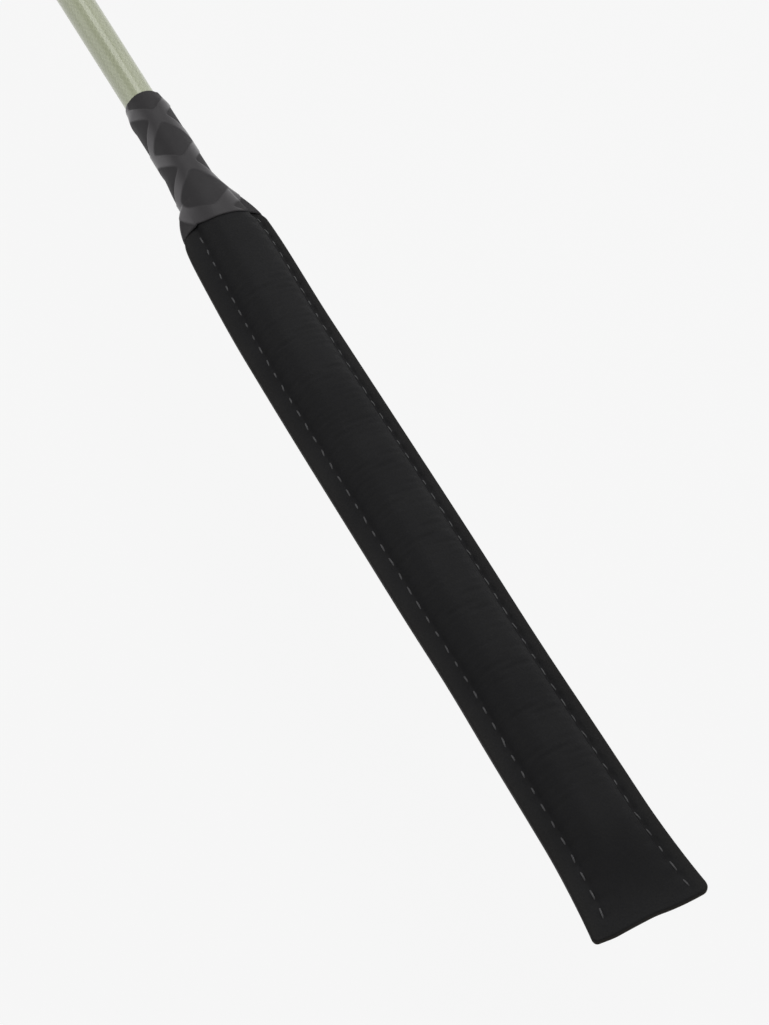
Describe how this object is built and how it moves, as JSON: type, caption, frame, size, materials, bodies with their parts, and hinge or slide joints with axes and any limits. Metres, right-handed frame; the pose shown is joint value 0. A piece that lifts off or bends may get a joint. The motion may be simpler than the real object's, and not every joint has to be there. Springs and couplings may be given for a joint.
{
  "type": "riding crop",
  "caption": "Short riding crop with a capped rubber grip, a green braided shaft, a ribbed neck sleeve and a long padded, stitched flap that flexes at the neck.",
  "frame": {"origin": "centre of the flat disc on the end of the butt cap", "axes": "+X along the shaft from the butt to the end of the flap, +Z out of the flap's front face, +Y across the flap"},
  "size_m": [0.6531, 0.029, 0.029],
  "materials": {
    "glass_fibre": "resin-bound glass fibre rod, satin",
    "braid": "sage green braided thread under clear lacquer",
    "grip_rubber": "matt black moulded rubber",
    "cap_plastic": "satin black moulding",
    "former_foam": "grey cork-and-foam former, unseen",
    "collar_metal": "black anodised, satin",
    "disc_metal": "sage green anodised, brushed",
    "steel": "zinc plated",
    "spigot_nylon": "natural nylon",
    "sleeve_rubber": "black heat-shrink rubber with raised crossed ribs, satin",
    "binding_thread": "waxed black thread",
    "cover_leather": "matt black synthetic leather, fine grain",
    "pad_foam": "soft black closed-cell foam",
    "stitch_thread": "bonded black thread, slight sheen",
    "tip_rubber": "matt black rubber"
  },
  "bodies": {
    "shaft": {"shaft_core": "glass_fibre", "shaft_braid": "braid", "core_spigot": "spigot_nylon", "butt_cap": "cap_plastic", "cap_disc": "disc_metal", "cap_screw": "steel", "cap_washer": "steel", "rear_collar": "collar_metal", "grip_former": "former_foam", "grip": "grip_rubber", "front_collar": "collar_metal", "shaft_whipping": "binding_thread", "neck_sleeve": "sleeve_rubber"},
    "flap": {"flap_core": "glass_fibre", "core_tip_cap": "tip_rubber", "tail_whipping": "binding_thread", "cover_front": "cover_leather", "foam_front": "pad_foam", "seam_thread_front_left": "stitch_thread", "seam_thread_front_right": "stitch_thread", "cover_back": "cover_leather", "foam_back": "pad_foam", "seam_thread_back_left": "stitch_thread", "seam_thread_back_right": "stitch_thread"}
  },
  "joints": [
    {"name": "flap_flex", "type": "hinge", "parent": "shaft", "child": "flap", "pos_m": [0.4019, 0, 0], "axis": [0, -1, 0], "range_deg": [-15, 15], "stiffness_Nm_per_rad": 30, "deforming": ["neck_sleeve", "core_spigot"]}
  ]
}
